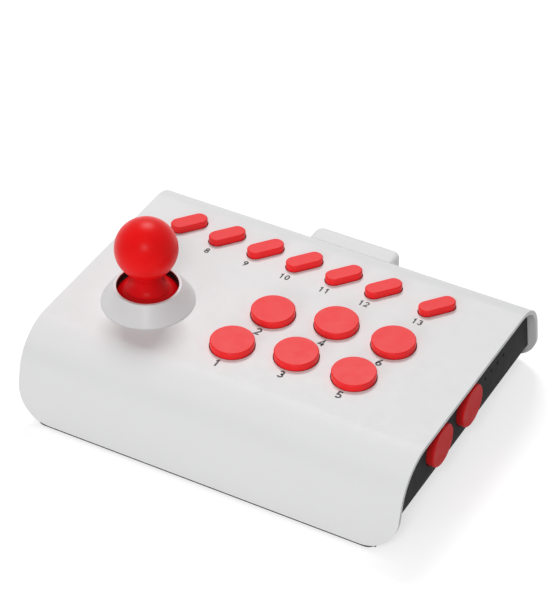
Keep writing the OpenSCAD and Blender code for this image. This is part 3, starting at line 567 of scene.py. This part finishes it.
def gap_shade_rings():
    """Black rings in the gaps round the caps, painted shade there: the deck's look up, the side panel's
    to the right.
    """
    circle = stadium_points(0, ROUND_CAP_R + CAP_GAP, 0)
    stadium = stadium_points(MENU_HALF, MENU_R + CAP_GAP, math.radians(MENU_TURN))
    kinds = {
        "action_button": (circle, on_deck),
        "menu_button": (stadium, on_deck),
        "side_button": (circle, on_panel),
    }
    return [
        outline_ring(points, -RING_DEPTH, -RING_TOP, place(middle_of(node)))
        for node in nodes
        for kind, (points, place) in kinds.items()
        if node.startswith(kind)
    ]


def lamp_hole_shade_rings():
    """Black rings round the ends of the light pipes, a hair proud of the side panel: painted shade
    round the lamp holes.
    """
    low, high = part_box("light_pipes")
    half = (high.z - low.z) / 2
    first = Vector((panel_x, low.y + half, low.z + half))
    last = Vector((panel_x, high.y - half, low.z + half))
    circle = stadium_points(0, LAMP_RING_R, 0)
    middles = [first.lerp(last, i / (LAMPS - 1)) for i in range(LAMPS)]
    return [
        outline_ring(circle, -LAMP_RING_DEPTH, LAMP_RING_RISE, on_panel(middle))
        for middle in middles
    ]


# Both ring sets are painted shade, black where the gaps and lamp holes fall into shade
joined_piece("gap_shade_rings", gap_shade_rings(), painted_shade_black, "chassis")
joined_piece("lamp_hole_shade_rings", lamp_hole_shade_rings(), painted_shade_black, "chassis")


# Numbers by the buttons

ROUND_BUTTONS = 6
ROUND_HEIGHT = 5.7 * MM
ROUND_LABEL = Vector((0, -16.7)) * MM
MENU_BUTTONS = 7
MENU_HEIGHT = 4.4 * MM
MENU_LABEL = Vector((-4.4, -15)) * MM
PRINT_DEPTH = 0.03 * MM
PRINT_RISE = 0.03 * MM

# A digit's strokes and these sizes are in shares of its height
DIGIT_WIDTH = 0.62
DIGIT_STEP = 0.78
DIGIT_MIDDLE = 0.5
STROKE = 0.195
HEAD = 0.9125
FOOT = 0.0875
ARC_POINTS = 14
MITRE_LIMIT = 0.45
# Ends that are nearer than this share of the half stroke are one point
SAME_POINT = 0.01


def arc(x, y, rx, ry, start, end):
    """Points of an arc, with its angles in degrees from +X."""
    angles = (math.radians(start + (end - start) * i / ARC_POINTS) for i in range(ARC_POINTS + 1))
    return [(x + rx * math.cos(a), y + ry * math.sin(a)) for a in angles]


SIX = [
    arc(0.31, 0.3, 0.22, 0.215, 0, 360),
    [(0.47, 0.95), (0.33, 0.81), (0.2, 0.64), (0.12, 0.47), (0.09, 0.3)],
]
DIGITS = {
    "0": [arc(0.31, 0.5, 0.225, 0.415, 0, 360)],
    "1": [[(0.12, 0.74), (0.345, 0.9), (0.345, 0)]],
    "2": [arc(0.31, 0.68, 0.22, 0.235, 170, -35) + [(0.1, FOOT), (0.57, FOOT)]],
    "3": [arc(0.29, 0.7, 0.195, 0.215, 155, -100), arc(0.29, 0.3, 0.225, 0.215, 100, -155)],
    "4": [[(0.45, 0), (0.45, 0.9), (0.06, 0.27), (DIGIT_WIDTH, 0.27)]],
    "5": [[(0.54, HEAD), (0.16, HEAD), (0.13, 0.52)] + arc(0.3, 0.32, 0.235, 0.235, 120, -150)],
    "6": SIX,
    "7": [[(0.04, HEAD), (0.54, HEAD), (0.22, 0)]],
    "8": [arc(0.31, 0.7, 0.185, 0.205, 0, 360), arc(0.31, 0.295, 0.225, 0.21, 0, 360)],
    "9": [[(DIGIT_WIDTH - x, 1 - y) for x, y in stroke] for stroke in SIX],
}


def ribbon(points, half, low, high, place):
    """A flat strip along a path, with its corners mitred."""
    closed = math.dist(points[0], points[-1]) < half * SAME_POINT
    path = [Vector(point) for point in (points[:-1] if closed else points)]
    n = len(path)
    corners = ((1, low), (1, high), (-1, high), (-1, low))
    bm = bmesh.new()
    rows = []
    for i, point in enumerate(path):
        before = point - path[i - 1] if i or closed else path[1] - point
        after = path[(i + 1) % n] - point if i < n - 1 or closed else before
        a, b = before.normalized(), after.normalized()
        along = (a + b).normalized()
        side = Vector((-along.y, along.x)) * half / max(MITRE_LIMIT, along.dot(a))
        rows.append([bm.verts.new(place(*(point + d * side), z)) for d, z in corners])
    return strip(bm, rows, closed)


def number(text, middle, height):
    """The strips of a printed number with its middle at that place on the deck."""
    width = (len(text) - 1) * DIGIT_STEP + DIGIT_WIDTH
    parts = []
    for i, digit in enumerate(text):
        left = i * DIGIT_STEP - width / 2

        def place(x, y, z, left=left):
            return (middle.x + (left + x) * height, middle.y + (y - DIGIT_MIDDLE) * height, z)

        for stroke in DIGITS[digit]:
            parts.append(
                ribbon(stroke, STROKE / 2, deck_z - PRINT_DEPTH, deck_z + PRINT_RISE, place)
            )
    return parts


def numbers(kind, count, first, offset, height):
    """The strips of the numbers beside all buttons of a kind, counted up from the first number."""
    parts = []
    for i in range(count):
        middle = middle_of(f"{kind}_{i + 1}").xy + offset
        parts += number(str(first + i), middle, height)
    return parts


strips = numbers("action_button", ROUND_BUTTONS, 1, ROUND_LABEL, ROUND_HEIGHT)
strips += numbers("menu_button", MENU_BUTTONS, ROUND_BUTTONS + 1, MENU_LABEL, MENU_HEIGHT)
joined_piece("deck_numbers", strips, print_black, "chassis")


# Floor and sky

FLOOR_RADIUS = 4.0
FLOOR_SIDES = 96
FLOOR_COLOUR = (0.6, 0.6, 0.6)
FLOOR_ROUGH = 0.9
# The floor's own light for rays that see the background: this up to the near radius,
# and 1 from the far radius on
FLOOR_LIFT = 0.64
FLOOR_NEAR = 0.4
FLOOR_FAR = 1.4
# Strength of the sky for rays that light the object; the camera and gloss see it at 1
SKY = 0.3


def background_seen(tree):
    """1 for rays from the camera, in gloss and through glass, which see the white background."""
    path = tree.nodes.new("ShaderNodeLightPath")
    seen = path.outputs["Is Camera Ray"]
    for ray in ("Is Glossy Ray", "Is Transmission Ray"):
        either = tree.nodes.new("ShaderNodeMath")
        either.operation = "MAXIMUM"
        tree.links.new(seen, either.inputs[0])
        tree.links.new(path.outputs[ray], either.inputs[1])
        seen = either.outputs[0]
    return seen


def floor():
    """A plain round floor that keeps the object's shadow and fades to white."""
    bm = bmesh.new()
    bmesh.ops.create_circle(bm, cap_ends=True, segments=FLOOR_SIDES, radius=FLOOR_RADIUS)
    mesh = bpy.data.meshes.new("floor")
    bm.to_mesh(mesh)
    bm.free()
    made = added("floor", mesh)
    s = Shader("floor")
    fill(s.bsdf, {"Base Color": (*FLOOR_COLOUR, 1), "Emission Color": (1, 1, 1, 1)})
    fill(s.bsdf, {"Roughness": FLOOR_ROUGH, "Specular IOR Level": 0.0})
    away = s.node("ShaderNodeVectorMath", operation="LENGTH")
    s.link(s.coords, away.inputs[0])
    level = s.node("ShaderNodeMapRange")
    fill(level, {"From Min": FLOOR_NEAR, "From Max": FLOOR_FAR, "To Min": FLOOR_LIFT})
    s.link(away.outputs["Value"], level.inputs["Value"])
    lift = s.node("ShaderNodeMath", operation="MULTIPLY")
    s.link(level.outputs["Result"], lift.inputs[0])
    s.link(background_seen(s.tree), lift.inputs[1])
    s.link(lift.outputs[0], s.bsdf.inputs["Emission Strength"])
    mesh.materials.append(s.material)


def sky():
    """A white background that lights the object at a lower strength."""
    world = bpy.data.worlds.new("studio")
    scene.world = world
    world.use_nodes = True
    tree = world.node_tree
    background = tree.nodes["Background"]
    fill(background, {"Color": (1, 1, 1, 1)})
    level = tree.nodes.new("ShaderNodeMapRange")
    fill(level, {"To Min": SKY, "To Max": 1.0})
    tree.links.new(background_seen(tree), level.inputs["Value"])
    tree.links.new(level.outputs["Result"], background.inputs["Strength"])


floor()
sky()


# Lamps

LAMP_TARGET = Vector((0, 0, deck_z))


def softbox(name, place, size, power, mirrored=True):
    """A soft lamp that looks at the deck; one that isn't mirrored leaves no highlight on gloss."""
    data = bpy.data.lights.new(name, "AREA")
    data.shape = "RECTANGLE"
    data.size, data.size_y = size
    data.energy = power
    made = added(name, data)
    made.location = place
    made.visible_glossy = mirrored
    made.rotation_euler = (LAMP_TARGET - Vector(place)).to_track_quat("-Z", "Y").to_euler()


softbox("key", place=(-0.42, 0.75, 1.2), size=(0.52, 0.39), power=9.9)
softbox("front", place=(-0.12, -1.5, 0.35), size=(1.1, 0.5), power=8.0, mirrored=False)
softbox("fill", place=(0.36, -1.0, 1.0), size=(0.26, 0.23), power=3.5)

scene.view_settings.view_transform = "Standard"
